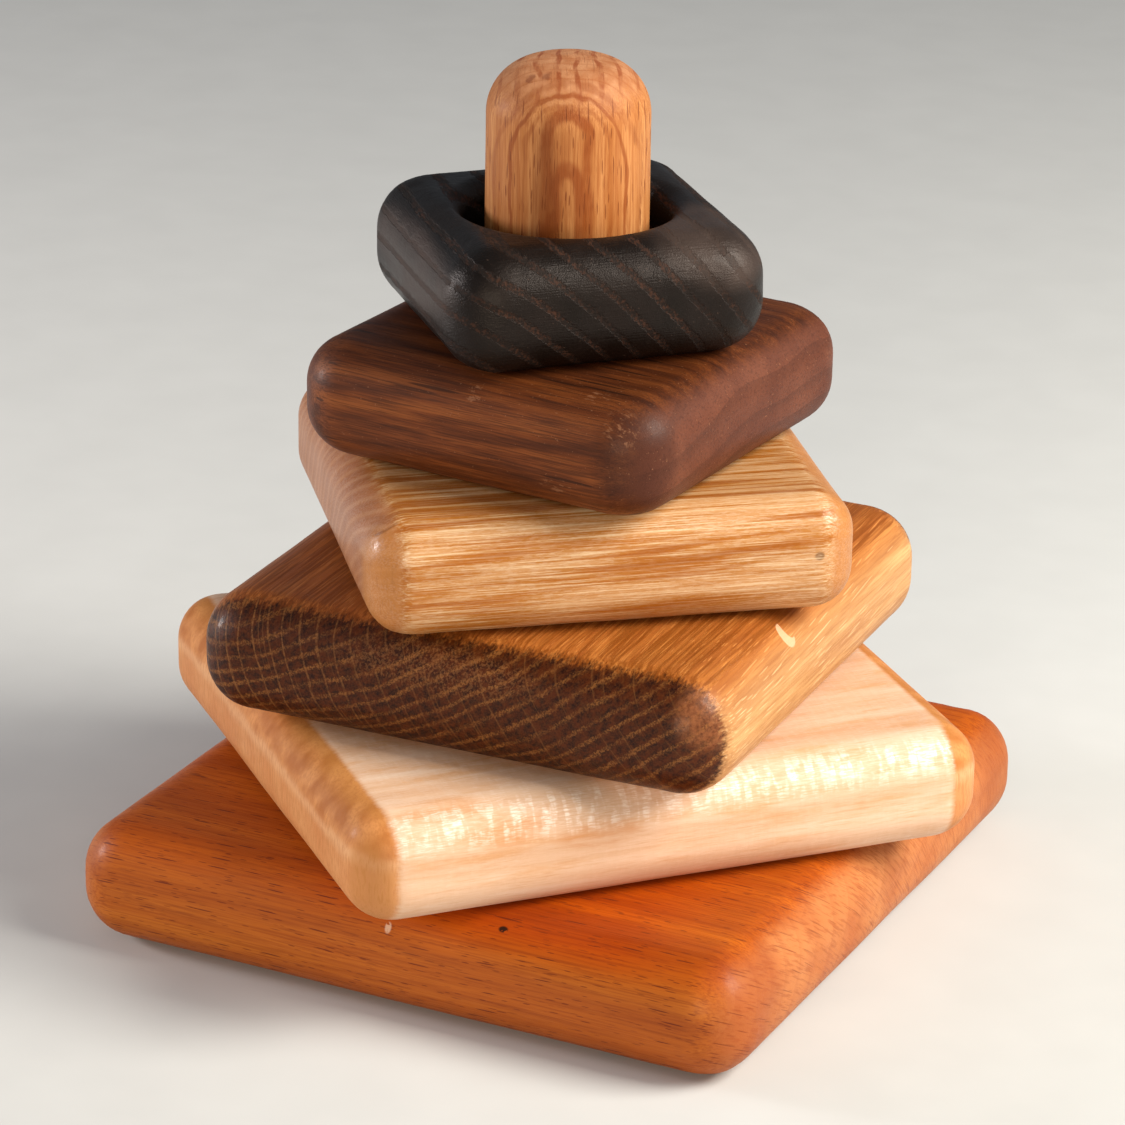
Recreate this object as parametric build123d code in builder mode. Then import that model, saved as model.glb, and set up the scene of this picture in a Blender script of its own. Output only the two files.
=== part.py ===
"""Square stacking tower: a board with one round post, and five loose square rings that drop over it.

Every block is sawn from a board of about the same thickness, and each ring is one step smaller than
the block below it. The blocks are sanded by hand, so each has small trims from the regular series.
The origin is the centre of the base's underside, +Z is up along the post, X is the base's grain.
"""

from build123d import *
from dataclasses import dataclass
from math import cos, radians, sin
import os

# Driving dimensions, in millimetres.
BASE_SIDE = 120.0
SIDE_STEP = 13.4  # each block is this much smaller than the one below it
BOARD = 20.0  # the planed board that every block is cut from
EDGE_ROUND = 8.6  # sanded round-over along all top and bottom edges
CORNER_EXTRA = 0.6  # the upright corners are rounder than the edges by this
POST_RADIUS = 13.2
POST_TOP = 143.0
BORE_RADIUS = 16.5  # one drill for all five rings

# The post's end: a shallow crown that turns into the sides with a rounded shoulder.
CROWN_RADIUS = 28.0
SHOULDER_RADIUS = 8.8
POST_FOOT_CHAMFER = 1.0
SOCKET_DEPTH = 14.0
GLUE_GAP = 0.05

# The bore's mouths: a quarter-round that stops short of level, so it meets the face at a soft arris.
MOUTH_ROUND = 3.8
MOUTH_SWEEP = 80.0  # degrees of the quarter-round
MOUTH_OVERRUN = 2.0  # the cutter stands this far out of the faces


@dataclass
class Block:
    """One square block: its place in the series, and where hand work took it off the series."""

    name: str
    level: int
    long_trim: float = 0.0  # along the grain
    cross_trim: float = 0.0  # across the grain
    thick_trim: float = 0.0
    edge_trim: float = 0.0  # of the round-over
    corner_trim: float = 0.0  # of the upright corners' radius
    turn: float = 0.0  # degrees about the post, anticlockwise from above
    shift: tuple = (0.0, 0.0)  # where the ring came to rest on the loose post

    @property
    def length(self):
        return BASE_SIDE - self.level * SIDE_STEP + self.long_trim

    @property
    def width(self):
        return BASE_SIDE - self.level * SIDE_STEP + self.cross_trim

    @property
    def thickness(self):
        return BOARD + self.thick_trim

    @property
    def edge(self):
        return EDGE_ROUND + self.edge_trim

    @property
    def corner(self):
        return self.edge + CORNER_EXTRA + self.corner_trim

    def plane(self, bottom):
        """The plane of the block's underside: x along the long side, z up."""
        along = (cos(radians(self.turn)), sin(radians(self.turn)), 0)
        return Plane(origin=(*self.shift, bottom), x_dir=along, z_dir=(0, 0, 1))


BASE = Block("base_board", level=0, cross_trim=0.6, thick_trim=0.2)

# From the largest ring to the smallest, as they lie on each other.
RINGS = [
    Block(
        "maple_ring", level=1, long_trim=0.8, cross_trim=-3.0, thick_trim=-1.0,
        edge_trim=-1.4, corner_trim=0.5, turn=47.4, shift=(0.5, 0.7),
    ),
    Block("oak_ring", level=2, long_trim=-1.2, thick_trim=0.4, turn=2.0, shift=(1.0, -0.1)),
    Block(
        "ash_ring", level=3, long_trim=-1.1, cross_trim=-1.3, thick_trim=-0.3,
        edge_trim=-1.6, corner_trim=-0.4, turn=38.5, shift=(0.0, 1.4),
    ),
    Block(
        "walnut_ring", level=4, long_trim=1.0, cross_trim=1.2, thick_trim=-0.8,
        edge_trim=-0.6, corner_trim=1.4, turn=-4.8, shift=(1.0, 0.7),
    ),
    Block("black_ring", level=5, cross_trim=0.3, thick_trim=0.5, turn=44.7, shift=(0.2, -0.2)),
]


def write(piece, name):
    """Labels one finished piece and writes it to its own file."""
    piece.label = name
    export_step(piece, f"parts/{name}.step")


def make_blank(block, plane):
    """The solid block: rounded upright corners, then a round-over along both faces."""
    with BuildPart() as blank:
        with BuildSketch(plane):
            RectangleRounded(block.length, block.width, block.corner)
        extrude(amount=block.thickness)
        rims = blank.edges().filter_by(GeomType.LINE).filter_by(Axis.Z, reverse=True)
        rims += blank.edges().filter_by(GeomType.CIRCLE)
        fillet(rims, radius=block.edge)
    return blank.part


def make_base():
    """The bottom block, with the blind socket that the post is glued into."""
    blank = make_blank(BASE, BASE.plane(bottom=0))
    with BuildPart() as base:
        add(blank)
        with Locations((0, 0, BASE.thickness)):
            Hole(radius=POST_RADIUS + GLUE_GAP, depth=SOCKET_DEPTH)
    return base.part


def make_post():
    """The round post, standing on the socket's floor."""
    foot = BASE.thickness - SOCKET_DEPTH
    crown_drop = CROWN_RADIUS - (CROWN_RADIUS**2 - POST_RADIUS**2) ** 0.5
    shoulder = (POST_RADIUS, POST_TOP - crown_drop)
    with BuildPart() as post:
        with BuildSketch(Plane.XZ) as profile:
            with BuildLine():
                Polyline((0, POST_TOP), (0, foot), (POST_RADIUS, foot), shoulder)
                RadiusArc((0, POST_TOP), shoulder, CROWN_RADIUS)
            make_face()
            outside = profile.vertices().group_by(Axis.X)[-1].sort_by(Axis.Y)
            fillet(outside[-1], radius=SHOULDER_RADIUS)
            outside = profile.vertices().group_by(Axis.X)[-1].sort_by(Axis.Y)
            chamfer(outside[0], length=POST_FOOT_CHAMFER)
        revolve(axis=Axis.Z)
    return post.part


def make_ring(block, bottom):
    """One loose ring, lying on the block below it: a blank with a bore that is flared at both ends."""
    plane = block.plane(bottom)
    blank = make_blank(block, plane)
    top = block.thickness
    sweep = radians(MOUTH_SWEEP)
    mouth = BORE_RADIUS + MOUTH_ROUND * (1 - cos(sweep))  # radius where the flare meets the face
    depth = MOUTH_ROUND * sin(sweep)
    middle = BORE_RADIUS + MOUTH_ROUND * (1 - cos(sweep / 2))
    middle_depth = depth - MOUTH_ROUND * sin(sweep / 2)
    with BuildPart() as ring:
        add(blank)
        with BuildSketch(Plane(origin=plane.origin, x_dir=plane.x_dir, z_dir=-plane.y_dir)):
            with BuildLine():
                Polyline((mouth, 0), (mouth, -MOUTH_OVERRUN), (0, -MOUTH_OVERRUN))
                Line((0, -MOUTH_OVERRUN), (0, top + MOUTH_OVERRUN))
                Polyline((0, top + MOUTH_OVERRUN), (mouth, top + MOUTH_OVERRUN), (mouth, top))
                ThreePointArc((mouth, top), (middle, top - middle_depth), (BORE_RADIUS, top - depth))
                Line((BORE_RADIUS, top - depth), (BORE_RADIUS, depth))
                ThreePointArc((BORE_RADIUS, depth), (middle, middle_depth), (mouth, 0))
            make_face()
        revolve(axis=Axis(plane.origin, plane.z_dir), mode=Mode.SUBTRACT)
    return ring.part


os.makedirs("parts", exist_ok=True)
write(make_base(), BASE.name)
write(make_post(), "post")

ring_bottom = BASE.thickness
for ring_block in RINGS:
    write(make_ring(ring_block, ring_bottom), ring_block.name)
    print(f"{ring_block.name}: underside {ring_bottom:.2f}, lifts off after {POST_TOP - ring_bottom:.2f}")
    ring_bottom += ring_block.thickness
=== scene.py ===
"""Looks for a square wooden stacking tower: seven pieces of solid wood, each with a grain of its own.

Each piece is a dense mesh built around its CAD block, with the small unevenness of hand sanding.
Each wood is a solid texture: growth rings about a pith, rays that run out from it and pores along it,
so that one pattern gives arcs on the end grain, and streaks, arches or flecks on the other faces.
"""

import math
from types import SimpleNamespace

import bpy
import numpy as np
from mathutils import Euler, Matrix, Vector, noise


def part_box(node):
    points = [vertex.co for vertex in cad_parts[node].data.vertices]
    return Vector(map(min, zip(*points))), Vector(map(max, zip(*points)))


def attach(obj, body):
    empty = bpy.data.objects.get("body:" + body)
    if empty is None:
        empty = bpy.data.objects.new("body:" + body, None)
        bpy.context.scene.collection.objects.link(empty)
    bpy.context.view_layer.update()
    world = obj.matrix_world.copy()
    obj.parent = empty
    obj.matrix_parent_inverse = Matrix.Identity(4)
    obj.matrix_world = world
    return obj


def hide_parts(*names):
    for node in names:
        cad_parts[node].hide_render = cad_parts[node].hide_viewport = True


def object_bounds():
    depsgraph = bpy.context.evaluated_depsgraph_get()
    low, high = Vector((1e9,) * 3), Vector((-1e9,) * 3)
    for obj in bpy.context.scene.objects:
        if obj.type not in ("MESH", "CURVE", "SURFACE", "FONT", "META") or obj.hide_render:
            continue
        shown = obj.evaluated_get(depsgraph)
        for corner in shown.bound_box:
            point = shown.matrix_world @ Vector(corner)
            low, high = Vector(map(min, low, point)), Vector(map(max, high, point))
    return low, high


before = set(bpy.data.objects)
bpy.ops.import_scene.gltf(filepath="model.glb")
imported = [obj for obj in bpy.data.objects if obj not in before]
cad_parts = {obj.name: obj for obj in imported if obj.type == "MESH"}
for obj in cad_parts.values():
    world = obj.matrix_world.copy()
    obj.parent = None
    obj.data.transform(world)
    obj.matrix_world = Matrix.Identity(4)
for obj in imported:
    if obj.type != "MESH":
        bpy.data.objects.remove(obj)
cad_low, cad_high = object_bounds()

MM = 0.001
SAME = 0.01 * MM  # CAD points nearer than this are level with each other


# ---------------------------------------------------------------- reading the CAD blocks

def mesh_points(node):
    """The node's vertices as an array, in metres."""
    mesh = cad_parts[node].data
    flat = np.zeros(len(mesh.vertices) * 3)
    mesh.vertices.foreach_get("co", flat)
    return flat.reshape(-1, 3)


def turned(points, angle):
    """Plan coordinates seen from axes turned by angle."""
    c, s = math.cos(angle), math.sin(angle)
    return points[:, :2] @ np.array([[c, -s], [s, c]])


def side_angle(points):
    """The angle, from 0 to 90 degrees, at which a square block's outline is narrowest."""
    best, step = math.radians(45), math.radians(45)
    while step > math.radians(0.01):
        tries = np.linspace(best - step, best + step, 13)
        spans = [np.ptp(turned(points, a), axis=0).sum() for a in tries]
        best = tries[int(np.argmin(spans))]
        step /= 4
    return best


def read_block(node, heading):
    """Sizes and place of one square block. Its x axis is the side nearest to heading, in degrees."""
    points = mesh_points(node)
    angle = side_angle(points)
    quarter = math.pi / 2
    angle += quarter * round((math.radians(heading) - angle) / quarter)
    plan = turned(points, angle)
    low, high = plan.min(0), plan.max(0)
    middle = (low + high) / 2
    half = (high - low) / 2
    plan = plan - middle
    bottom, top = points[:, 2].min(), points[:, 2].max()
    on_top = plan[points[:, 2] > top - SAME]
    edge = float(half[0] - on_top[:, 0].max())
    corner = float((half.sum() - (plan.sum(1)).max()) / (2 - math.sqrt(2)))
    reach = np.hypot(plan[:, 0], plan[:, 1])
    bore = float(reach.min())
    wall_top = points[reach < bore + SAME][:, 2].max()
    c, s = math.cos(angle), math.sin(angle)
    return SimpleNamespace(
        angle=angle,
        centre=Vector((c * middle[0] - s * middle[1], s * middle[0] + c * middle[1], (bottom + top) / 2)),
        half=half,
        thickness=float(top - bottom),
        edge=edge,
        corner=corner,
        bore=bore,
        mouth_depth=float(top - wall_top),
        mouth_reach=float(np.hypot(on_top[:, 0], on_top[:, 1]).min()),
    )


# ---------------------------------------------------------------- meshes

SIDE_STEPS = 44  # stations along one side of a block
CORNER_STEPS = 16  # stations round one upright corner
EDGE_STEPS = 14  # from the side face over the round-over
FLAT_STEPS = 12  # across the flat of the top or underside
MOUTH_STEPS = 9  # over the bore's flared mouth
WALL_STEPS = 8  # down the bore, and up the side face
ZONE = 1.35  # a round-over's fine rows reach this much further than its radius
RIDGE_POWER = 3.0  # how softly two round-overs meet in a ridge
SOCKET_RIM = 0.3 * MM  # width of the fine rows round the socket's sharp edge
SOLE_RINGS = 6  # rows of the underside's middle and of the socket's floor
HEART = 0.08  # the innermost of those rows, as a part of the outermost
WAVE_LENGTH = 22 * MM  # the slow waves that hand sanding leaves
WAVE_DEPTH = 0.12 * MM
RIPPLE_LENGTH = 7 * MM
RIPPLE_DEPTH = 0.02 * MM
EDGE_UNEVENNESS = 0.05  # of the round-over's radius
FLAT_FADE = 0.6 * MM  # hand work is at its full depth where the surface is this far below its face


def outline(block):
    """Stations round the block's rounded square, anticlockwise: points and outward normals."""
    points, normals = [], []
    inner = block.half - block.corner
    centres = [inner * sign for sign in ((1, 1), (-1, 1), (-1, -1), (1, -1))]
    for k, centre in enumerate(centres):
        start = k * math.pi / 2
        for a in np.linspace(start, start + math.pi / 2, CORNER_STEPS + 1):
            normal = np.array([math.cos(a), math.sin(a)])
            points.append(centre + block.corner * normal)
            normals.append(normal)
        here = points[-1]
        goal = centres[(k + 1) % 4] + block.corner * normal
        for t in np.linspace(0, 1, SIDE_STEPS + 1)[1:-1]:
            points.append(here + (goal - here) * t)
            normals.append(normal)
    return np.array(points), np.array(normals)


def inset(plan, block):
    """How far inside the block's rounded square each plan point lies."""
    past = np.abs(plan) - (block.half - block.corner)
    outside = np.hypot(np.maximum(past[..., 0], 0), np.maximum(past[..., 1], 0))
    return block.corner - outside - np.minimum(past.max(-1), 0)


def quarter_drop(depth_in, radius):
    """How far a quarter-round lies below its flat, depth_in from the start of the curve."""
    inner = np.clip(radius - depth_in, 0, radius)
    return radius - np.sqrt(np.maximum(radius**2 - inner**2, 0))


def row_fractions(length, outer, inner):
    """Fractions from the outside to the bore, close together at both curved ends."""
    a = np.minimum(outer * ZONE, length * 0.5) / length
    b = np.minimum(inner * ZONE, length * 0.5) / length
    rise = 1 - np.cos(np.linspace(0, math.pi / 2, EDGE_STEPS + 1))
    fall = 1 - np.cos(np.linspace(0, math.pi / 2, MOUTH_STEPS + 1))
    first = a[:, None] * rise
    middle = a[:, None] + (1 - a - b)[:, None] * np.linspace(0, 1, FLAT_STEPS + 1)[1:-1]
    last = 1 - b[:, None] * fall[::-1]
    return np.hstack([first, middle, last])


def edge_widths(edge, normals, seed):
    """The round-over's radius at each station, a little uneven as a sanding block leaves it."""
    wander = [noise.noise(Vector((2.2 * x, 2.2 * y, seed))) for x, y in normals]
    return edge * (1 + EDGE_UNEVENNESS * np.array(wander))[:, None]


def stacked(plan, heights):
    """Rows of points straight above each other. heights is stations by rows."""
    return np.dstack([np.repeat(plan[:, None], heights.shape[1], 1), heights])


def grid_normals(grid):
    """Unit normals of a closed grid of points, stations by rows."""
    along = np.roll(grid, -1, 0) - np.roll(grid, 1, 0)
    across = np.roll(grid, -1, 1) - np.roll(grid, 1, 1)
    normal = np.cross(along, across)
    return normal / np.maximum(np.linalg.norm(normal, axis=2, keepdims=True), 1e-12)


def hand_waves(point, seed, wave, ripple):
    """How much hand work took off at a point, in metres, never negative."""
    slow = noise.noise(point / WAVE_LENGTH + Vector((seed, 0, 0)))
    quick = noise.noise(point / RIPPLE_LENGTH + Vector((0, seed, 0)))
    return max(0.0, wave * (0.5 + slow) + ripple * (0.5 + quick))


def to_frame(block, points):
    """From the block's own axes to the frame."""
    c, s = math.cos(block.angle), math.sin(block.angle)
    x = c * points[:, 0] - s * points[:, 1] + block.centre.x
    y = s * points[:, 0] + c * points[:, 1] + block.centre.y
    return np.stack([x, y, points[:, 2] + block.centre.z], 1)


def new_piece(name, points, faces):
    """A smooth mesh object from points and faces, linked to the scene."""
    mesh = bpy.data.meshes.new(name)
    mesh.from_pydata([tuple(p) for p in points], [], faces)
    mesh.validate()
    mesh.shade_smooth()
    piece = bpy.data.objects.new(name, mesh)
    bpy.context.scene.collection.objects.link(piece)
    return piece


def grid_faces(stations, rows, closed_rows):
    """Quads of a grid that is closed round its stations and, if asked, round its rows."""
    faces = []
    last = rows if closed_rows else rows - 1
    for k in range(stations):
        after = (k + 1) % stations
        for j in range(last):
            up = (j + 1) % rows
            faces.append((k * rows + j, after * rows + j, after * rows + up, k * rows + up))
    return faces


def sanded(grid, flat, seed, wave, ripple, outward=1):
    """The grid with hand work taken off everywhere but on its flats. outward turns its normals out."""
    normals = grid_normals(grid) * outward
    out = grid.copy()
    for k in range(grid.shape[0]):
        for j in range(grid.shape[1]):
            if flat[k, j] < 1:
                off = hand_waves(Vector(grid[k, j]), seed, wave, ripple) * (1 - flat[k, j])
                out[k, j] = grid[k, j] - normals[k, j] * off
    return out


def flatness(drop):
    """1 on a flat face, falling to 0 where the surface has dropped well below it."""
    t = np.clip(drop / FLAT_FADE, 0, 1)
    return 1 - t * t * (3 - 2 * t)


def make_ring(block, name, seed, wave=WAVE_DEPTH, ripple=RIPPLE_DEPTH):
    """A square ring: over the top, down the bore, under the bottom and up the side."""
    rim, normals = outline(block)
    edges = edge_widths(block.edge, normals, seed)
    hole = block.bore * rim / np.linalg.norm(rim, axis=1, keepdims=True)
    length = np.linalg.norm(hole - rim, axis=1)
    flare = block.mouth_reach - block.bore
    fractions = row_fractions(length, edges[:, 0], np.full(len(rim), flare))
    plan = rim[:, None] + (hole - rim)[:, None] * fractions[..., None]
    from_bore = np.hypot(plan[..., 0], plan[..., 1]) - block.bore
    mouth_drop = block.mouth_depth * quarter_drop(from_bore, flare) / flare
    edge_drop = quarter_drop(inset(plan, block), edges)
    drop = (edge_drop**RIDGE_POWER + mouth_drop**RIDGE_POWER) ** (1 / RIDGE_POWER)
    height = block.thickness / 2 - drop
    top = np.dstack([plan, height])
    under = np.dstack([plan, -height])[:, ::-1]
    steps = np.linspace(0, 1, WALL_STEPS + 1)[1:-1]
    wall = stacked(hole, height[:, -1:] * (1 - 2 * steps))
    side = stacked(rim, height[:, :1] * (2 * steps - 1))
    grid = np.concatenate([top, wall, under, side], axis=1)
    face_flat = flatness(drop)
    none_flat = np.zeros(wall.shape[:2])
    flat = np.hstack([face_flat, none_flat, face_flat[:, ::-1], none_flat])
    grid = sanded(grid, flat, seed, wave, ripple)
    faces = grid_faces(grid.shape[0], grid.shape[1], closed_rows=True)
    return new_piece(name, to_frame(block, grid.reshape(-1, 3)), faces)


def close_end(points, faces, stations, row, tip, turned_down):
    """Closes one end of an open grid with a fan of triangles round a new point at its tip."""
    rows = len(points) // stations
    middle = len(points)
    points.append(tip)
    for k in range(stations):
        a, b = k * rows + row, (k + 1) % stations * rows + row
        faces.append((a, middle, b) if turned_down else (b, middle, a))


def make_base(block, socket_floor, name, seed):
    """The base block: from the middle of its socket out over the top, down, and back to the middle."""
    rim, normals = outline(block)
    count = len(rim)
    edges = edge_widths(block.edge, normals, seed)
    hole = block.bore * (rim / np.linalg.norm(rim, axis=1, keepdims=True))
    length = np.linalg.norm(hole - rim, axis=1)
    fractions = row_fractions(length, edges[:, 0], np.full(count, SOCKET_RIM))
    plan = rim[:, None] + (hole - rim)[:, None] * fractions[..., None]
    drop = quarter_drop(inset(plan, block), edges)
    level = block.thickness / 2
    height = level - drop
    top = np.dstack([plan, height])[:, ::-1]
    under = np.dstack([plan, -height])
    steps = np.linspace(0, 1, WALL_STEPS + 1)
    side = stacked(rim, height[:, :1] * (1 - 2 * steps[1:-1]))
    floor = socket_floor - block.centre.z
    depths = level + (floor - level) * steps[1:]
    wall = stacked(hole, np.tile(depths, (count, 1)))[:, ::-1]
    rings = np.linspace(HEART, 1, SOLE_RINGS)[:-1, None]
    bed = np.dstack([hole[:, None] * rings, np.full((count, len(rings)), floor)])
    sole = np.dstack([under[:, -1, None, :2] * rings[::-1], np.full((count, len(rings)), -level)])
    grid = np.concatenate([bed, wall, top, side, under, sole], axis=1)
    face_flat = flatness(drop)
    flat = np.hstack([
        np.ones((count, bed.shape[1] + wall.shape[1])), face_flat[:, ::-1],
        np.zeros(side.shape[:2]), face_flat, np.ones(sole.shape[:2]),
    ])
    grid = sanded(grid, flat, seed, WAVE_DEPTH, RIPPLE_DEPTH, outward=-1)
    faces = [tuple(reversed(f)) for f in grid_faces(count, grid.shape[1], closed_rows=False)]
    points = list(to_frame(block, grid.reshape(-1, 3)))
    tips = to_frame(block, np.array([[0, 0, floor], [0, 0, -level]]))
    close_end(points, faces, count, 0, tips[0], turned_down=False)
    close_end(points, faces, count, grid.shape[1] - 1, tips[1], turned_down=True)
    return new_piece(name, points, faces)


POST_STATIONS = 96
POST_ROWS = 60
DOME_ROWS = 24
FOOT_INNER = 0.3  # the inner row of the post's flat foot, as a part of the outer
POST_WAVE = 0.1 * MM


def make_post(name, seed):
    """The round post, turned from its own CAD outline: radius against height."""
    points = mesh_points("post")
    middle = (points[:, :2].min(0) + points[:, :2].max(0)) / 2
    reach = np.hypot(*(points[:, :2] - middle).T)
    radius = reach.max()
    bottom, top = points[:, 2].min(), points[:, 2].max()
    shoulder = points[reach > radius - SAME][:, 2].max()
    heel = points[reach > radius - SAME][:, 2].min()
    order = np.argsort(points[:, 2])
    heights, reaches = points[order, 2], reach[order]
    crown = heights > shoulder + SAME
    knots_z, knots_r = envelope(heights[crown], reaches[crown])
    foot = radius - (heel - bottom)
    rows = [(bottom, FOOT_INNER * foot), (bottom, foot), (heel, radius)]
    rows += [(z, radius) for z in np.linspace(heel, shoulder, POST_ROWS)[1:]]
    for a in np.linspace(0, math.pi / 2, DOME_ROWS + 2)[1:-1]:
        z = shoulder + (top - shoulder) * math.sin(a)
        rows.append((z, float(np.interp(z, knots_z, knots_r))))
    stations = []
    for k in range(POST_STATIONS):
        a = 2 * math.pi * k / POST_STATIONS
        stations.append([(middle[0] + r * math.cos(a), middle[1] + r * math.sin(a), z) for z, r in rows])
    grid = np.array(stations)
    flat = np.zeros(grid.shape[:2])
    flat[:, :3] = 1
    flat[:, -1] = 1
    grid = sanded(grid, flat, seed, POST_WAVE, RIPPLE_DEPTH)
    faces = grid_faces(POST_STATIONS, len(rows), closed_rows=False)
    flat_points = list(grid.reshape(-1, 3))
    close_end(flat_points, faces, POST_STATIONS, 0, (*middle, bottom), turned_down=True)
    close_end(flat_points, faces, POST_STATIONS, len(rows) - 1, (*middle, top), turned_down=False)
    return new_piece(name, flat_points, faces)


def envelope(heights, reaches):
    """The outline of a turned shape: the widest reach at each of its levels, from low to high."""
    levels = np.unique(np.round(heights, 6))
    widest = [reaches[np.abs(heights - level) < 2 * SAME].max() for level in levels]
    return levels, np.array(widest)


# ---------------------------------------------------------------- shader toolkit

class Graph:
    """Adds shader nodes one after another. Its inputs are sockets, plain numbers and colours."""

    def __init__(self, name):
        self.material = bpy.data.materials.new(name)
        self.material.use_nodes = True
        self.tree = self.material.node_tree
        self.tree.nodes.clear()
        self.output = self.tree.nodes.new("ShaderNodeOutputMaterial")

    def put(self, socket, value):
        """Links a socket, or sets a plain value."""
        if isinstance(value, bpy.types.NodeSocket):
            self.tree.links.new(value, socket)
        elif value is not None:
            socket.default_value = value

    def node(self, kind, **settings):
        made = self.tree.nodes.new("ShaderNode" + kind)
        for key, value in settings.items():
            setattr(made, key, value)
        return made

    def math(self, operation, a, b=None, c=None):
        made = self.node("Math", operation=operation)
        for socket, value in zip(made.inputs, (a, b, c)):
            self.put(socket, value)
        return made.outputs[0]

    def add(self, a, b):
        return self.math("ADD", a, b)

    def sub(self, a, b):
        return self.math("SUBTRACT", a, b)

    def mul(self, a, b):
        return self.math("MULTIPLY", a, b)

    def around_zero(self, value, size):
        """A value between 0 and 1 moved to lie between -size and size."""
        return self.math("MULTIPLY_ADD", value, 2 * size, -size)

    def step(self, value, low, high, to_low=0.0, to_high=1.0):
        """A smooth step from to_low below low to to_high above high."""
        made = self.node("MapRange", interpolation_type="SMOOTHSTEP")
        for socket, entry in zip(made.inputs, (value, low, high, to_low, to_high)):
            self.put(socket, entry)
        return made.outputs[0]

    def join(self, x, y, z):
        made = self.node("CombineXYZ")
        for socket, value in zip(made.inputs, (x, y, z)):
            self.put(socket, value)
        return made.outputs[0]

    def split(self, vector):
        made = self.node("SeparateXYZ")
        self.put(made.inputs[0], vector)
        return made.outputs

    def place(self, vector, location, rotation, scale):
        made = self.node("Mapping")
        self.put(made.inputs["Vector"], vector)
        made.inputs["Location"].default_value = location
        made.inputs["Rotation"].default_value = rotation
        made.inputs["Scale"].default_value = scale
        return made.outputs[0]

    def in_cells(self, vector, x, y, z, seed=0.0):
        """The vector counted in cells of x by y by z millimetres. Another seed is another pattern."""
        return self.place(vector, (seed, seed, seed), (0, 0, 0), (1 / x, 1 / y, 1 / z))

    def noise(self, vector, detail=2.0, roughness=0.5, colour=False):
        """Noise with cells about one unit across, from 0 to 1 with a middle of 0.5."""
        made = self.node("TexNoise")
        self.put(made.inputs["Vector"], vector)
        made.inputs["Scale"].default_value = 1.0
        made.inputs["Detail"].default_value = detail
        made.inputs["Roughness"].default_value = roughness
        return made.outputs["Color" if colour else "Fac"]

    def scattered(self, vector, reach):
        """Lens shapes, one to a cell: 1 inside reach of the cell's point. Also a number for each."""
        made = self.node("TexVoronoi")
        self.put(made.inputs["Vector"], vector)
        made.inputs["Scale"].default_value = 1.0
        inside = self.step(made.outputs["Distance"], 0.7 * reach, reach, 1.0, 0.0)
        return inside, self.split(made.outputs["Color"])[0]

    def ramp(self, value, *stops):
        """A colour ramp. Each stop is a position and a colour."""
        made = self.node("ValToRGB")
        self.put(made.inputs[0], value)
        elements = made.color_ramp.elements
        while len(elements) < len(stops):
            elements.new(1.0)
        for element, (position, colour) in zip(elements, stops):
            element.position = position
            element.color = as_colour(colour)
        return made.outputs[0]

    def mix(self, factor, a, b, blend="MIX"):
        made = self.node("Mix", data_type="RGBA", blend_type=blend)
        self.put(made.inputs[0], factor)
        self.put(made.inputs[6], as_colour(a))
        self.put(made.inputs[7], as_colour(b))
        return made.outputs[2]

    def bump(self, height, microns, normal=None):
        """A bump from a height between 0 and 1, which is so many microns deep."""
        made = self.node("Bump")
        made.inputs["Distance"].default_value = microns * 1e-6
        self.put(made.inputs["Height"], height)
        self.put(made.inputs["Normal"], normal)
        return made.outputs[0]

    def finish(self, colour, roughness, normal, **others):
        """The surface: colour, roughness and normal, and any other inputs by name."""
        made = self.node("BsdfPrincipled")
        self.put(made.inputs["Base Color"], colour)
        self.put(made.inputs["Roughness"], roughness)
        self.put(made.inputs["Normal"], normal)
        for key, value in others.items():
            self.put(made.inputs[key.replace("_", " ").title().replace("Ior", "IOR")], value)
        self.tree.links.new(made.outputs[0], self.output.inputs[0])
        return self.material


def as_colour(colour):
    """A screen colour such as "c68a5a", or a linear triple, as a linear colour. A socket stays."""
    if isinstance(colour, str):
        parts = [int(colour[k:k + 2], 16) / 255 for k in (0, 2, 4)]
        colour = tuple(p / 12.92 if p <= 0.04045 else ((p + 0.055) / 1.055) ** 2.4 for p in parts)
    return (*colour, 1) if isinstance(colour, tuple) else colour


# ---------------------------------------------------------------- wood

def board_place(g, block, upright=False):
    """Millimetres in the block's own axes: x along the grain. For an upright grain, x runs up the post."""
    metres = g.node("TexCoord").outputs["Object"]
    if upright:
        turn = Euler((0, math.pi / 2, 0)).to_matrix()
    else:
        turn = Matrix.Rotation(-block.angle, 3, "Z")
    shift = -(turn @ (Vector(block.centre) / MM))
    return g.place(metres, shift, turn.to_euler(), (1 / MM,) * 3)


def log_axes(g, place, pith, tilt, sway, warp):
    """Solid wood's own axes, in millimetres: along the grain, out from the pith, and round it.

    pith is where the pith passes, across and above the block's middle. tilt is how far it leans for
    each millimetre along the grain. The log sways by up to sway over about warp millimetres.
    """
    x, y, z = g.split(place)
    bend = g.noise(g.in_cells(place, 2 * warp, warp, warp), 1.0, colour=True)
    bend_y, bend_z, _ = g.split(bend)
    y = g.add(y, g.around_zero(bend_y, sway))
    z = g.add(z, g.around_zero(bend_z, sway))
    y = g.sub(g.sub(y, pith[0]), g.mul(x, tilt[0]))
    z = g.sub(g.sub(z, pith[1]), g.mul(x, tilt[1]))
    out = g.math("SQRT", g.add(g.mul(y, y), g.mul(z, z)))
    reach = math.hypot(*pith)
    facing = math.atan2(-pith[1], -pith[0])
    y_turned = g.add(g.mul(y, math.cos(facing)), g.mul(z, math.sin(facing)))
    z_turned = g.sub(g.mul(z, math.cos(facing)), g.mul(y, math.sin(facing)))
    round_it = g.mul(g.math("ARCTAN2", z_turned, y_turned), reach)
    return g.join(x, out, round_it)


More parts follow.
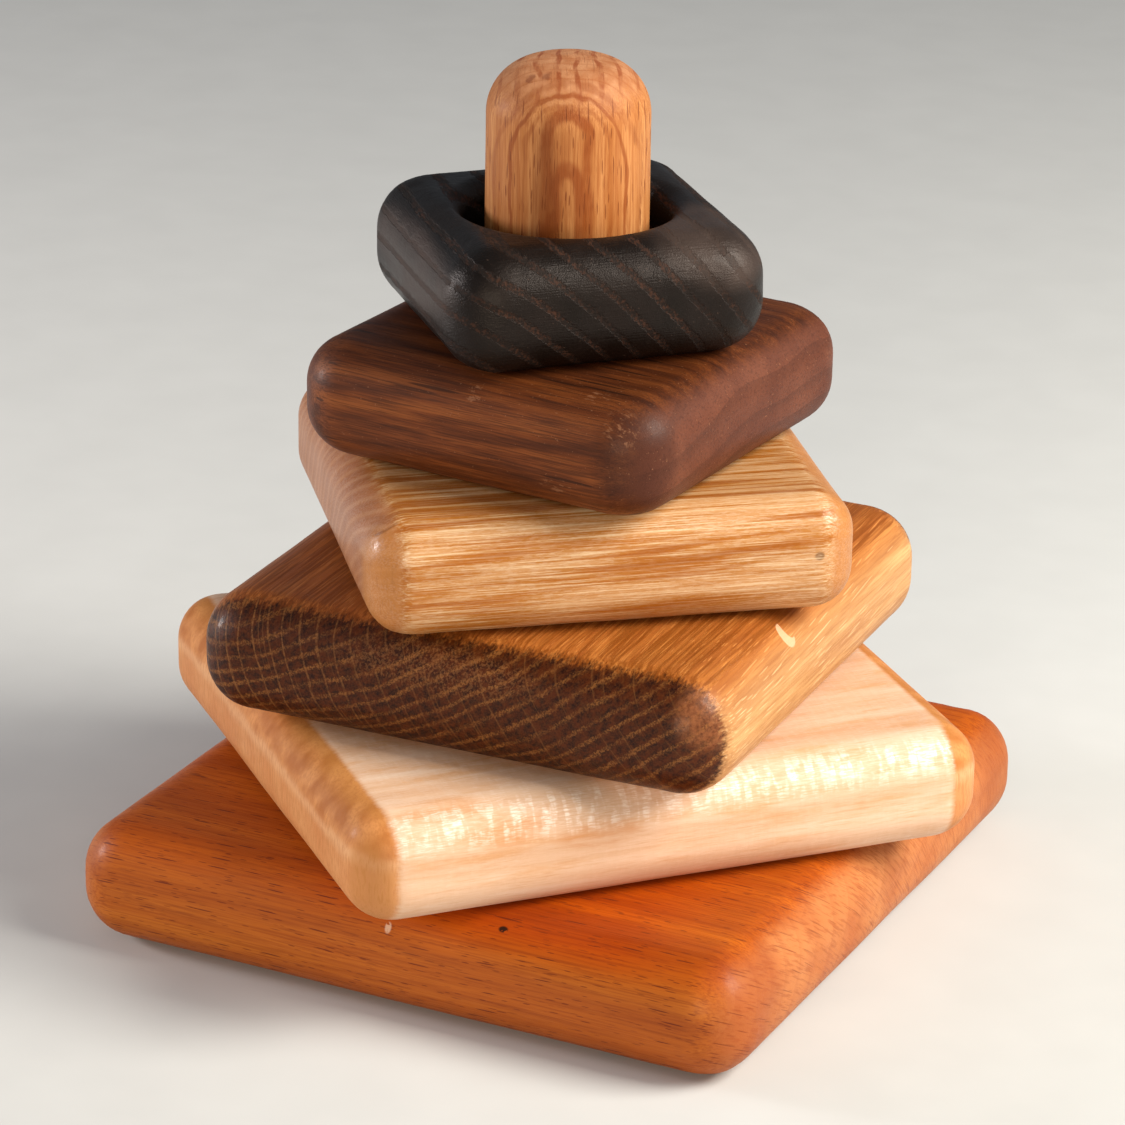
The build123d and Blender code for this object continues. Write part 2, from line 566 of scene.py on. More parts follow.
def growth(g, log, width, wander, seed):
    """Growth rings: how far each point lies through its year, from 0 to 1, and the year's own number."""
    out = g.split(log)[1]
    drift = g.noise(g.join(g.mul(out, 0.2 / width), seed, 0.0), 1.0)
    years = g.add(g.mul(out, 1 / width), g.mul(drift, wander))
    year = g.math("FLOOR", years)
    lot = g.node("TexWhiteNoise", noise_dimensions="2D")
    g.put(lot.inputs["Vector"], g.join(year, seed, 0.0))
    return g.sub(years, year), lot.outputs["Value"]


def fibres(g, place, length, width, seed=0.0):
    """Fine streaks along the grain."""
    return g.noise(g.in_cells(place, length, width, width, seed), 3.0, 0.6)


def blotches(g, place, size, seed=0.0):
    """Soft patches where the wood took more oil or less."""
    return g.noise(g.in_cells(place, 1.6 * size, size, size, seed), 2.0)


def rays(g, log, length, depth, width, seed=0.0):
    """Ray cells: thin sheets that run out from the pith, seen as dashes, flecks or lines."""
    return g.scattered(g.in_cells(log, length, depth, width, seed), 0.22)


def ray_comb(g, log, spacing, thickness, wiggle=0.25):
    """Broad rays at fairly even distances, as thin sheets along the grain: 1 on a ray."""
    round_it = g.split(log)[2]
    drift = g.noise(g.in_cells(log, 30, 4 * spacing, 2 * spacing), 2.0)
    count = g.add(g.mul(round_it, 1 / spacing), g.around_zero(drift, wiggle))
    off = g.math("ABSOLUTE", g.sub(g.math("FRACT", count), 0.5))
    half = thickness / spacing / 2
    return g.step(off, half, 2 * half, 1.0, 0.0)


def crumbs(g, place, size, seed=0.0, most=0.6):
    """Ragged crumbs of about this size. A higher most leaves fewer of them."""
    return g.step(g.noise(g.in_cells(place, size, size, size, seed), 2.0, 0.6), most, most + 0.06)


def end_grain(g, block, place, low, high, fingers=0.0, upright=False):
    """1 where the surface cuts across the grain and 0 where it runs along it, with a streaky border."""
    normal = g.node("TexCoord").outputs["Normal"]
    dot = g.node("VectorMath", operation="DOT_PRODUCT")
    g.put(dot.inputs[0], normal)
    dot.inputs[1].default_value = (0, 0, 1) if upright else (math.cos(block.angle), math.sin(block.angle), 0)
    cut = g.math("ABSOLUTE", dot.outputs["Value"])
    cut = g.add(cut, g.around_zero(fibres(g, place, 6, 0.5, seed=7), fingers))
    return g.step(cut, low, high)


def painted_top_shade(g, place, colour, tint):
    """Painted shade on the upper face: its colour deepened by tint there, standing in for the darker,
    stronger colour that the light gives the tops.
    """
    return g.mix(g.step(g.split(place)[2], 4, 9.5), colour, tint, blend="MULTIPLY")


def far_from(g, place, centre, size, turn=(0, 0, 0)):
    """Distance from a place in the block's own axes: 1 on the ellipsoid with these half lengths."""
    turn_back = Euler(turn).to_matrix().inverted()
    shift = -(turn_back @ Vector(centre))
    near = g.place(place, shift, turn_back.to_euler(), (1, 1, 1))
    length = g.node("VectorMath", operation="LENGTH")
    g.put(length.inputs[0], g.in_cells(near, *size))
    return length.outputs["Value"]


def spot(g, place, centre, size, turn=(0, 0, 0)):
    """A soft-edged mark at a place in the block's own axes. size gives its half lengths."""
    return g.step(far_from(g, place, centre, size, turn), 0.55, 1.0, 1.0, 0.0)


def steamed_beech(block):
    """The base: reddish brown, with short dark ray flecks along the grain."""
    g = Graph("steamed_beech")
    place = board_place(g, block)
    log = log_axes(g, place, pith=(60, -60), tilt=(0.02, -0.01), sway=2, warp=40)
    end = end_grain(g, block, place, 0.35, 0.8, fingers=0.1)
    phase, year = growth(g, log, width=5, wander=2, seed=1)
    bands = g.noise(g.in_cells(place, 110, 5, 5), 4.0, 0.6)
    colour = g.ramp(bands, (0.3, "9b4b13"), (0.5, "ad5a18"), (0.7, "bd6a20"))
    colour = g.mix(g.mul(year, 0.2), colour, "8f4012")
    colour = g.mix(g.mul(g.step(phase, 0.75, 1), 0.25), colour, "7e3410")
    streaks = fibres(g, place, 14, 0.35)
    colour = g.mix(g.step(streaks, 0.42, 0.7, 0, 0.6), colour, "82380e")
    pale = fibres(g, place, 8, 0.25, seed=4)
    colour = g.mix(g.step(pale, 0.55, 0.75, 0, 0.2), colour, "c67838")
    cut = g.ramp(blotches(g, place, 12), (0.35, "af6233"), (0.65, "bd7643"))
    strokes = g.noise(g.in_cells(log, 1.2, 5, 0.4, seed=8), 3.0, 0.6)
    cut = g.mix(g.step(strokes, 0.48, 0.66, 0, 0.6), cut, "964a22")
    cut = g.mix(g.mul(g.step(phase, 0.6, 1), 0.2), cut, "984a20")
    # Painted shade: the upper face deepened by a tint, and most of it, less so at the right end, turned a
    # strong red-orange, standing in for the shade and orange bounce light under the maple ring.
    colour = painted_top_shade(g, place, colour, (1.0, 0.82, 0.4))
    x, _, z = g.split(place)
    top_shade_and_streaks = g.mul(g.step(z, 3, 9), g.mul(g.step(x, -30, 10), g.step(x, 34, 52, 1, 0.2)))
    colour = g.mix(top_shade_and_streaks, colour, (0.96, 0.68, 0.1), blend="MULTIPLY")
    for across in (-52, 52):
        corner = spot(g, place, (53, across, 3), (16, 15, 14))
        cut = g.mix(g.mul(corner, 0.45), cut, "8e3f14")
    colour = g.mix(end, colour, cut)
    fleck, lot = rays(g, log, 10, 12, 0.34)
    fleck = g.mul(fleck, g.step(lot, 0.0, 0.8, 0.2, 1.0))
    colour = g.mix(g.mul(fleck, g.step(end, 0, 1, 0.85, 0.45)), colour, "601f0a")
    for seed, length in ((5, 5), (8, 3.5)):
        dash, lot = rays(g, log, length, 8, 0.3, seed)
        dash = g.mul(dash, g.step(lot, 0.1, 0.9, 0.3, 0.95))
        colour = g.mix(g.mul(dash, g.step(end, 0, 1, 0.8, 0.4)), colour, "6a260a")
    speck = g.mul(spot(g, place, (18.4, -56.6, 8.6), (1.0, 0.7, 0.8)), crumbs(g, place, 0.8, most=0.42))
    colour = g.mix(speck, colour, "2e1408")
    dab = g.mul(spot(g, place, (-0.6, -59.3, 5.7), (0.7, 0.9, 1.3)), crumbs(g, place, 0.9, most=0.4))
    colour = g.mix(g.mul(dab, 0.7), colour, "d9b59a")
    fine = fibres(g, place, 3, 0.16, seed=3)
    normal = g.bump(g.sub(fine, g.mul(fleck, 0.6)), 40)
    rough = g.add(g.mul(streaks, 0.5), g.mul(blotches(g, place, 9, 4), 0.5))
    roughness = g.step(rough, 0.3, 0.7, 0.45, 0.6)
    return g.finish(colour, roughness, normal, specular_ior_level=0.16, coat_weight=0.05, coat_roughness=0.2)


def arch(g, level, aside, top, half_width, bow):
    """1 on an arch with upright legs, and less inside it. Its crown is at top, and its bow is this tall."""
    over = g.mul(g.math("MAXIMUM", g.sub(level, top - bow), 0.0), 1 / bow)
    across = g.mul(aside, 1 / half_width)
    return g.math("SQRT", g.add(g.mul(over, over), g.mul(across, across)))


def post_beech(block):
    """The post: paler beech standing on end, with arches on its front and broad rays across its crown."""
    g = Graph("post_beech")
    view = math.radians(26)  # the arches face this way round the post
    place = board_place(g, block, upright=True)
    log = log_axes(g, place, pith=(54, 26), tilt=(0.0, 0.0), sway=0.9, warp=9)
    end = end_grain(g, block, place, 0.3, 0.85, fingers=0.2, upright=True)
    phase, year = growth(g, log, width=2.4, wander=0.8, seed=5)
    bands = g.noise(g.in_cells(place, 60, 3, 3), 3.0, 0.6)
    colour = g.ramp(bands, (0.35, "ab6d39"), (0.65, "c78d58"))
    colour = g.mix(g.mul(year, 0.25), colour, "9f5726")
    streaks = fibres(g, place, 9, 0.28, seed=6)
    colour = g.mix(g.step(streaks, 0.4, 0.66, 0, 0.6), colour, "8e4a1c")
    crown = g.ramp(blotches(g, place, 2.5), (0.35, "a56943"), (0.65, "b7805a"))
    colour = g.mix(end, colour, crown)
    line = g.mul(g.step(phase, 0.78, 1), g.step(streaks, 0.3, 0.6, 0.9, 0.3))
    colour = g.mix(g.mul(line, 0.7), colour, "8c4415")
    x, y, z = g.split(place)
    aside = g.sub(g.mul(y, math.sin(view)), g.mul(z, math.cos(view)))
    ahead = g.sub(g.mul(y, -math.cos(view)), g.mul(z, math.sin(view)))
    wobble = g.noise(g.in_cells(place, 6, 3, 3, seed=2), 2.0)
    level = g.add(x, g.around_zero(wobble, 1.0))
    aside = g.add(aside, g.around_zero(g.noise(g.in_cells(place, 9, 4, 4, seed=6), 2.0), 1.0))
    shown = g.mul(g.step(ahead, 0, 5), g.step(wobble, 0.3, 0.55, 0.5, 1.0))
    for top, half_width, bow, wide, depth in (
        (66.5, 11.5, 15, 0.5, 0.4), (65, 9, 11, 0.4, 0.7), (63.6, 6.6, 7, 0.5, 0.35),
        (62.4, 3.4, 4, 1.3, 0.8), (53.5, 2.0, 3, 1.3, 0.75), (40, 4.2, 6, 1.0, 0.5),
    ):
        off = g.mul(g.math("ABSOLUTE", g.sub(arch(g, level, aside, top, half_width, bow), 1)), half_width)
        edge = g.mul(g.step(off, 0.3 * wide, wide, 1.0, 0.0), shown)
        colour = g.mix(g.mul(edge, depth), colour, "80390d")
    for seed, length in ((0, 7), (5, 5), (9, 9)):
        fleck, lot = rays(g, log, length, 10, 0.5, seed)
        fleck = g.mul(fleck, g.step(lot, 0.0, 0.8, 0.1, 0.75))
        colour = g.mix(g.mul(fleck, g.step(end, 0, 1, 1.0, 0.3)), colour, "6c3010")
    broken = g.noise(g.in_cells(log, 2.5, 3.5, 1.5, seed=4), 2.0)
    comb = g.mul(ray_comb(g, log, 3.0, 0.5, wiggle=0.5), g.mul(end, g.step(broken, 0.35, 0.6, 0.15, 0.8)))
    colour = g.mix(comb, colour, "85401f")
    core = spot(g, place, (42, -13, -2.3), (24, 3, 3.0))
    colour = g.mix(g.mul(core, 0.5), colour, "6e3410")
    fine = fibres(g, place, 3, 0.14, seed=3)
    colour = g.mix(g.step(fine, 0.5, 0.8, 0, 0.35), colour, "9a5424")
    ragged = g.noise(g.in_cells(place, 0.9, 0.9, 0.9, seed=5), 2.0)
    for centre in ((66.5, -8.8, 2.4), (67.1, -8.0, -0.1)):
        dot = g.add(far_from(g, place, centre, (2.0, 1.3, 1.0)), g.around_zero(ragged, 0.6))
        colour = g.mix(g.step(dot, 0.4, 1.0, 0.6, 0.0), colour, "6c3420")
    normal = g.bump(g.sub(fine, g.mul(fleck, 0.5)), 60)
    roughness = g.step(bands, 0.3, 0.7, 0.5, 0.62)
    return g.finish(colour, roughness, normal, specular_ior_level=0.17, coat_weight=0.02, coat_roughness=0.3)


def maple_wood(block):
    """Cream maple with a curled, silvery figure, partly painted as pale glints in the colour, and a darker
    oiled edge along its end grain.
    """
    g = Graph("maple")
    place = board_place(g, block)
    log = log_axes(g, place, pith=(20, -90), tilt=(0.06, 0.03), sway=3, warp=45)
    end = end_grain(g, block, place, 0.1, 0.3, fingers=0.06)
    phase, _ = growth(g, log, width=7, wander=1.0, seed=9)
    bands = g.noise(g.in_cells(place, 50, 4, 4), 4.0, 0.6)
    colour = g.ramp(bands, (0.3, "c69775"), (0.5, "d0a88b"), (0.7, "d6b59d"))
    colour = g.mix(g.mul(g.step(phase, 0.85, 1), 0.22), colour, "b98048")
    stain = g.noise(g.in_cells(place, 20, 3.5, 3, seed=6), 4.0, 0.62)
    colour = g.mix(g.step(stain, 0.5, 0.72, 0, 0.6), colour, "c28346")
    for centre in ((-29.5, -50.9, 5.5), (-14, -51.7, 2.6), (-39, -47, 8.4)):
        patch = spot(g, place, centre, (9, 4, 3))
        colour = g.mix(g.mul(patch, g.step(stain, 0.35, 0.6, 0.1, 0.6)), colour, "bc7430")
    streaks = fibres(g, place, 6, 0.3)
    colour = g.mix(g.step(streaks, 0.5, 0.75, 0, 0.45), colour, "b97f4a")
    rise = g.add(g.split(place)[2], g.around_zero(g.noise(g.in_cells(place, 8, 9, 8, seed=2), 3.0), 1.2))
    upper = g.step(rise, 2.4, 5.2)
    pale = g.mul(g.step(rise, 0.6, 2.8), g.step(rise, 3.2, 4.4, 1, 0))
    cut = g.ramp(blotches(g, place, 9), (0.35, "c48251"), (0.65, "cd915f"))
    cut = g.mix(g.mul(pale, 0.4), cut, "dfb288")
    rim = g.ramp(blotches(g, place, 4, seed=5), (0.35, "a9642f"), (0.65, "ca8850"))
    gold = g.step(rise, 7.6, 9.2)
    rim = g.mix(g.mul(gold, 0.5), rim, "b97e42")
    cut = g.mix(upper, cut, rim)
    cut_fibres = g.noise(g.in_cells(place, 0.4, 0.5, 2.5, seed=7), 3.0, 0.6)
    cut = g.mix(g.step(cut_fibres, 0.42, 0.66, 0, 0.45), cut, "a86838")
    corner = spot(g, place, (-51, -49, -2), (5, 5, 11))
    cut = g.mix(g.mul(corner, g.step(cut_fibres, 0.35, 0.65, 0.8, 0.2)), cut, "b0743f")
    colour = g.mix(end, colour, cut)
    curl = g.noise(g.in_cells(place, 1.3, 5, 5, seed=5), 2.0)
    hair = g.noise(g.in_cells(place, 1.8, 0.22, 0.22, seed=4), 2.0, 0.6)
    glint = g.mul(g.step(curl, 0.42, 0.6, 0.25, 1.0), g.step(hair, 0.45, 0.6, 0.3, 1.0))
    # Painted glints: pale fibre flecks on the faces along the grain, and below, paler ladder glints on the
    # upper round-over, put into the colour as well as into the gloss.
    colour = g.mix(g.mul(hair, g.step(end, 0, 1, 0.2, 0.0)), colour, "f0dcc0")
    up = g.split(place)[2]
    shoulder = g.mul(g.mul(g.step(up, 2.5, 5.5), g.step(up, 8.3, 9.3, 1, 0.15)), g.sub(1, end))
    colour = g.mix(g.mul(g.mul(glint, shoulder), 0.45), colour, "fdf4ea")
    fine = fibres(g, place, 2.5, 0.16, seed=3)
    normal = g.bump(fine, 40, g.bump(curl, 50))
    glint = g.mul(glint, g.add(g.mul(g.sub(1, end), 0.4), g.mul(shoulder, 0.6)))
    gloss = g.step(glint, 0.0, 1.0, 0.1, 1.0)
    roughness = g.step(glint, 0.0, 1.0, 0.5, 0.3)
    return g.finish(colour, roughness, normal, specular_ior_level=gloss, coat_weight=0.04, coat_roughness=0.2)


def oak_wood(block):
    """Oak: golden along the grain, and almost black where the end grain drank the oil."""
    g = Graph("oak")
    place = board_place(g, block)
    log = log_axes(g, place, pith=(93, 176), tilt=(0.03, 0.05), sway=1.5, warp=16)
    end = end_grain(g, block, place, 0.27, 0.5, fingers=0.26)
    phase, _ = growth(g, log, width=2.3, wander=1.6, seed=13)
    ragged = g.noise(g.in_cells(place, 0.8, 0.7, 0.7, seed=12), 3.0, 0.7)
    fuzzy = g.add(phase, g.around_zero(ragged, 0.3))
    porous = g.mul(g.step(fuzzy, 0.0, 0.12), g.step(fuzzy, 0.26, 0.42, 1, 0))
    bands = g.noise(g.in_cells(place, 45, 2.6, 2.6), 4.0, 0.65)
    along = g.ramp(bands, (0.3, "aa7547"), (0.5, "b98653"), (0.7, "d3a46e"))
    dark_streaks = fibres(g, place, 12, 0.4)
    along = g.mix(g.step(dark_streaks, 0.47, 0.65, 0, 0.45), along, "9a643a")
    for seed, reach in ((3, 26), (9, 17), (15, 11)):
        dash, lot = g.scattered(g.in_cells(log, reach, 0.55, 0.4, seed=seed), 0.26)
        along = g.mix(g.mul(dash, g.step(lot, 0.2, 0.9, 0.0, 0.6)), along, "e6bb8a")
    leftward = g.step(g.split(place)[1], -20, 42, 0.08, 1.0)
    # Painted shade: the upper face deepened by a tint. The dark streaks on the upper face just below are
    # grain.
    along = painted_top_shade(g, place, along, (0.8, 0.5, 0.24))
    top_shade_and_streaks = g.mul(g.step(g.split(place)[2], 5, 9.5), fibres(g, place, 18, 0.55, seed=11))
    along = g.mix(g.step(top_shade_and_streaks, 0.4, 0.58, 0, 0.75), along, "7a3d0a")
    # Painted shade: the faces along the grain darkened towards the left, standing in for the tower's shadow.
    along = g.mix(leftward, along, (0.75, 0.7, 0.8), blend="MULTIPLY")
    blocks = g.noise(g.in_cells(log, 25, 1.0, 1.3, seed=4), 3.0, 0.6)
    cut = g.ramp(blocks, (0.38, "230801"), (0.62, "481c02"))
    fine = g.noise(g.in_cells(place, 0.5, 0.35, 0.35, seed=8), 3.0, 0.7)
    dots = g.step(fine, 0.45, 0.58)
    faint = g.step(blotches(g, place, 5, seed=2), 0.35, 0.6, 0.4, 1.0)
    cut = g.mix(g.mul(g.mul(porous, faint), g.step(dots, 0, 1, 0.2, 0.95)), cut, "855428")
    cut = g.mix(g.mul(dots, 0.3), cut, "5d3415")
    ray = ray_comb(g, log, 3.0, 0.22, wiggle=0.35)
    thinner, lot = rays(g, log, 30, 40, 0.8, seed=6)
    ray = g.mul(g.mul(ray, leftward), g.step(ragged, 0.4, 0.6, 0.15, 0.55))
    ray = g.add(ray, g.mul(thinner, g.mul(lot, 0.35)))
    cut = g.mix(ray, cut, "8a5a30")
    chafed = g.mul(spot(g, place, (-46, 2, 6), (6, 22, 5)), crumbs(g, place, 0.45, seed=3, most=0.5))
    cut = g.mix(g.mul(chafed, 0.25), cut, "946239")
    # Painted highlight: a paler patch on the end grain at its right-hand corner, standing in for the lamp's
    # sheen there.
    painted_corner_highlight = spot(g, place, (-43, -44, 5.5), (8, 7, 7))
    cut = g.mix(g.mul(painted_corner_highlight, g.step(ragged, 0.3, 0.7, 0.75, 0.2)), cut, "8d5330")
    colour = g.mix(end, along, cut)
    hollow = spot(g, place, (-11.0, -43.2, 8.1), (1.5, 2.5, 2.2), turn=(0.3, 0, 0))
    chip = g.mul(spot(g, place, (-12.2, -43.7, 7.4), (2.2, 2.8, 2.5)), g.step(hollow, 0.2, 0.6, 1.0, 0.0))
    colour = g.mix(g.step(chip, 0.1, 0.4, 0.0, 0.8), colour, "d9ae8a")
    fine_along = fibres(g, place, 3, 0.2, seed=3)
    normal = g.bump(g.sub(fine_along, g.mul(porous, 0.4)), 50)
    roughness = g.step(dark_streaks, 0.3, 0.7, 0.42, 0.55)
    return g.finish(colour, roughness, normal, specular_ior_level=0.16, coat_weight=0.06, coat_roughness=0.1)


def ash_wood(block):
    """Ash: cream and honey streaks, smooth honey corners, and a sparkle along the fibres, partly painted as
    pale glints in the colour.
    """
    g = Graph("ash")
    place = board_place(g, block)
    log = log_axes(g, place, pith=(-47, -35), tilt=(0.03, 0.05), sway=1.8, warp=34)
    end = end_grain(g, block, place, 0.2, 0.5, fingers=0.03)
    phase, year = growth(g, log, width=2.5, wander=2.4, seed=17)
    hair = g.noise(g.in_cells(place, 40, 0.32, 0.32, seed=6), 3.0, 0.65)
    ragged = g.noise(g.in_cells(place, 30, 0.7, 0.7, seed=8), 3.0, 0.6)
    fuzzy = g.add(phase, g.around_zero(ragged, 0.4))
    porous = g.mul(g.step(fuzzy, 0.0, 0.2), g.step(fuzzy, 0.3, 0.6, 1, 0))
    patches = g.noise(g.in_cells(log, 30, 3.6, 9, seed=2), 3.0, 0.5)
    upper = g.step(g.split(place)[2], 4, 9)
    patches = g.add(patches, g.mul(g.mul(upper, 0.6), g.sub(0.5, patches)))
    lines = g.around_zero(g.noise(g.in_cells(place, 60, 1.3, 1.3, seed=12), 1.0), 0.7)
    honey = g.add(g.mul(g.mul(porous, g.step(year, 0.0, 1.0, 0.0, 1.0)), 0.1), g.mul(patches, 0.95))
    honey = g.add(g.add(honey, g.around_zero(hair, 0.26)), g.mul(lines, upper))
    honey = g.step(honey, 0.34, 0.76)
    along = g.ramp(
        honey,
        (0.0, "b98554"), (0.4, "a76a2a"), (0.75, "a05c17"), (1.0, "94500e"),
    )
    cut = g.ramp(blotches(g, place, 8), (0.35, "995f39"), (0.65, "a66b44"))
    ring_line = g.mul(g.step(phase, 0.1, 0.3), g.step(phase, 0.4, 0.6, 1, 0))
    cut = g.mix(g.mul(ring_line, 0.35), cut, "c0906a")
    cut = g.mix(g.mul(g.step(phase, 0.8, 1.0), 0.3), cut, "85502c")
    corner = spot(g, place, (-40, -37, 0), (9, 9, 16))
    far_end = g.step(g.split(place)[0], -10, 10)
    cut = g.mix(g.mul(g.math("MAXIMUM", corner, far_end), 0.7), cut, "b87a3e")
    cut_fibres = g.noise(g.in_cells(place, 0.4, 0.4, 1.6, seed=7), 3.0, 0.6)
    cut = g.mix(g.step(cut_fibres, 0.45, 0.7, 0, 0.3), cut, "8a5630")
    colour = g.mix(end, along, cut)
    knot = spot(g, place, (32.3, -39.2, 1.1), (1.0, 1.6, 0.9))
    colour = g.mix(g.mul(knot, 0.8), colour, "6e4a2c")
    crack = spot(g, place, (-36.0, -33.4, 8.2), (2.8, 1.2, 0.24), turn=(0, -0.55, -0.25))
    colour = g.mix(g.mul(crack, 0.7), colour, "7a4418")
    sparkle = g.noise(g.in_cells(place, 1.4, 0.25, 0.25, seed=4), 2.0, 0.6)
    glint = g.mul(g.step(sparkle, 0.45, 0.6, 0.2, 1.0), g.step(honey, 0.2, 0.9, 1.0, 0.3))
    threads = g.noise(g.in_cells(place, 16, 0.24, 0.24, seed=9), 3.0, 0.6)
    threads = g.mul(g.step(threads, 0.48, 0.66), g.step(honey, 0.2, 0.9, 1.0, 0.4))
    # Pale threads along the grain, together with painted glints: the sparkle put into the colour as pale
    # flecks.
    pale = g.add(g.mul(glint, 0.12), g.mul(threads, 0.5))
    colour = g.mix(g.mul(pale, g.sub(1, end)), colour, "e2c8a4")
    fine = fibres(g, place, 2, 0.14, seed=3)
    normal = g.bump(g.sub(fine, g.mul(honey, 0.3)), 45)
    roughness = g.step(hair, 0.3, 0.7, 0.36, 0.48)
    gloss = g.step(glint, 0.0, 1.0, 0.15, 0.8)
    return g.finish(colour, roughness, normal, specular_ior_level=gloss, coat_weight=0.1, coat_roughness=0.1)


def walnut_wood(block):
    """Walnut: dark streaks along the grain, and darker end grain in soft bands."""
    g = Graph("walnut")
    place = board_place(g, block)
    log = log_axes(g, place, pith=(15, -160), tilt=(0.02, -0.05), sway=2, warp=25)
    end = end_grain(g, block, place, 0.35, 0.8, fingers=0.1)
    phase, _ = growth(g, log, width=4.5, wander=1.5, seed=23)
    bands = g.noise(g.in_cells(place, 34, 2.4, 2.4), 4.0, 0.65)
    along = g.ramp(bands, (0.36, "4a230f"), (0.5, "683415"), (0.64, "81461f"))
    dark, lot = g.scattered(g.in_cells(place, 22, 1.6, 1.1, seed=3), 0.26)
    along = g.mix(g.mul(dark, g.step(lot, 0.2, 0.8, 0.0, 0.7)), along, "1f0d05")
    streaks = fibres(g, place, 9, 0.2)
    along = g.mix(g.step(streaks, 0.46, 0.62, 0, 0.6), along, "371a08")
    cut = g.ramp(blotches(g, place, 10), (0.35, "552b1c"), (0.65, "663826"))
    cut = g.mix(g.mul(g.step(phase, 0.4, 0.95), 0.35), cut, "3c1d12")
    grit = g.noise(g.in_cells(place, 0.4, 0.5, 0.5, seed=11), 3.0, 0.7)
    cut = g.mix(g.step(grit, 0.48, 0.66, 0, 0.5), cut, "38190e")
    # Painted shade: the upper face darkened by a tint.
    along = painted_top_shade(g, place, along, (0.6, 0.55, 0.5))
    colour = g.mix(end, along, cut)
    worn = g.step(crumbs(g, place, 0.45, seed=2, most=0.68), 0.0, 1.0, 0.0, 0.5)
    scuffs = g.noise(g.in_cells(place, 1.8, 0.5, 0.8, seed=5), 3.0, 0.7)
    for centre, size in (((1.6, -31.8, 7.0), (2.2, 3, 2.2)), ((21.2, -27.6, 9.3), (2.5, 2.5, 1.5)),
                         ((27.4, -31.0, 6.4), (3.4, 3.4, 4.5)), ((17.9, -33.2, -4.4), (5, 2, 1.6)),
                         ((-30, -27, 4), (6, 6, 5))):
        rubbed = g.mul(spot(g, place, centre, size), g.step(scuffs, 0.54, 0.64))
        worn = g.math("MAXIMUM", worn, g.mul(rubbed, 0.4))
    corner = spot(g, place, (31, -31, 2), (9, 9, 12))
    colour = g.mix(g.mul(corner, 0.6), colour, "3c1c10")
    colour = g.mix(worn, colour, "98684a")
    fine = fibres(g, place, 2, 0.16, seed=5)
    normal = g.bump(g.sub(fine, g.mul(dark, 0.3)), 45)
    roughness = g.step(streaks, 0.3, 0.7, 0.46, 0.58)
    return g.finish(colour, roughness, normal, specular_ior_level=0.17, coat_weight=0.02, coat_roughness=0.12)


def ebonised_ash(block):
    """Blackened ash: satin black, with the pores showing through as brown dotted bands."""
    g = Graph("ebonised_ash")
    place = board_place(g, block)
    log = log_axes(g, place, pith=(60, -60), tilt=(0.02, 0.02), sway=1.4, warp=18)
    phase, _ = growth(g, log, width=4.2, wander=1.2, seed=29)
    ragged = g.noise(g.in_cells(place, 2.0, 0.6, 0.6, seed=8), 3.0, 0.6)
    fuzzy = g.add(phase, g.around_zero(ragged, 0.16))
    porous = g.mul(g.step(fuzzy, 0.0, 0.06), g.step(fuzzy, 0.2, 0.34, 1, 0))
    cloud = blotches(g, place, 7)
    colour = g.ramp(cloud, (0.3, "080503"), (0.7, "110a07"))
    pore = g.noise(g.in_cells(place, 1.6, 0.5, 0.5, seed=3), 2.0, 0.6)
    faint = g.step(blotches(g, place, 9, seed=3), 0.35, 0.6, 0.35, 1.0)
    brown = g.mul(g.mul(porous, faint), g.step(pore, 0.48, 0.6, 0.05, 0.65))
    colour = g.mix(brown, colour, "3f2417")
    worn = g.mul(spot(g, place, (-28.5, 26.5, 1), (4, 4, 11)), crumbs(g, place, 0.6, seed=9, most=0.54))
    dust = g.mul(crumbs(g, place, 0.4, seed=4, most=0.7), 0.5)
    colour = g.mix(g.math("MAXIMUM", worn, dust), colour, "665044")
    # Painted sheen: paler colour on the top near the right-hand corner and along the left face, standing in
    # for the lamps' reflections.
    corner_sheen = spot(g, place, (-21, -19, 9), (18, 14, 9))
    side_sheen = spot(g, place, (0, 27, 3), (26, 5, 9))
    sheen = g.math("MAXIMUM", corner_sheen, side_sheen)
    colour = g.mix(g.mul(sheen, g.step(cloud, 0.3, 0.7, 0.4, 0.8)), colour, "3f332e")
    fine = fibres(g, place, 2.5, 0.2, seed=5)
    brushed = g.noise(g.in_cells(place, 0.3, 7, 0.3, seed=6), 2.0)
    lumps = g.noise(g.in_cells(place, 3, 3, 3), 2.0)
    rough_skin = g.add(g.mul(fine, 0.5), g.mul(brushed, 0.5))
    normal = g.bump(g.sub(rough_skin, g.mul(porous, 0.6)), 140, g.bump(lumps, 140))
    roughness = g.step(cloud, 0.3, 0.7, 0.36, 0.46)
    roughness = g.add(roughness, g.mul(porous, 0.25))
    warm = (1, 0.85, 0.8, 1)
    return g.finish(colour, roughness, normal, specular_ior_level=0.22, specular_tint=warm, coat_weight=0.02)


# ---------------------------------------------------------------- pieces

# The heading of each block's x axis, which is its grain, in degrees.
HEADINGS = {
    "base_board": 0, "maple_ring": 47, "oak_ring": 92, "ash_ring": 38, "walnut_ring": -5, "black_ring": 135,
}
blocks = {node: read_block(node, heading) for node, heading in HEADINGS.items()}
post_low, post_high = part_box("post")
blocks["post"] = SimpleNamespace(centre=(post_low + post_high) / 2)

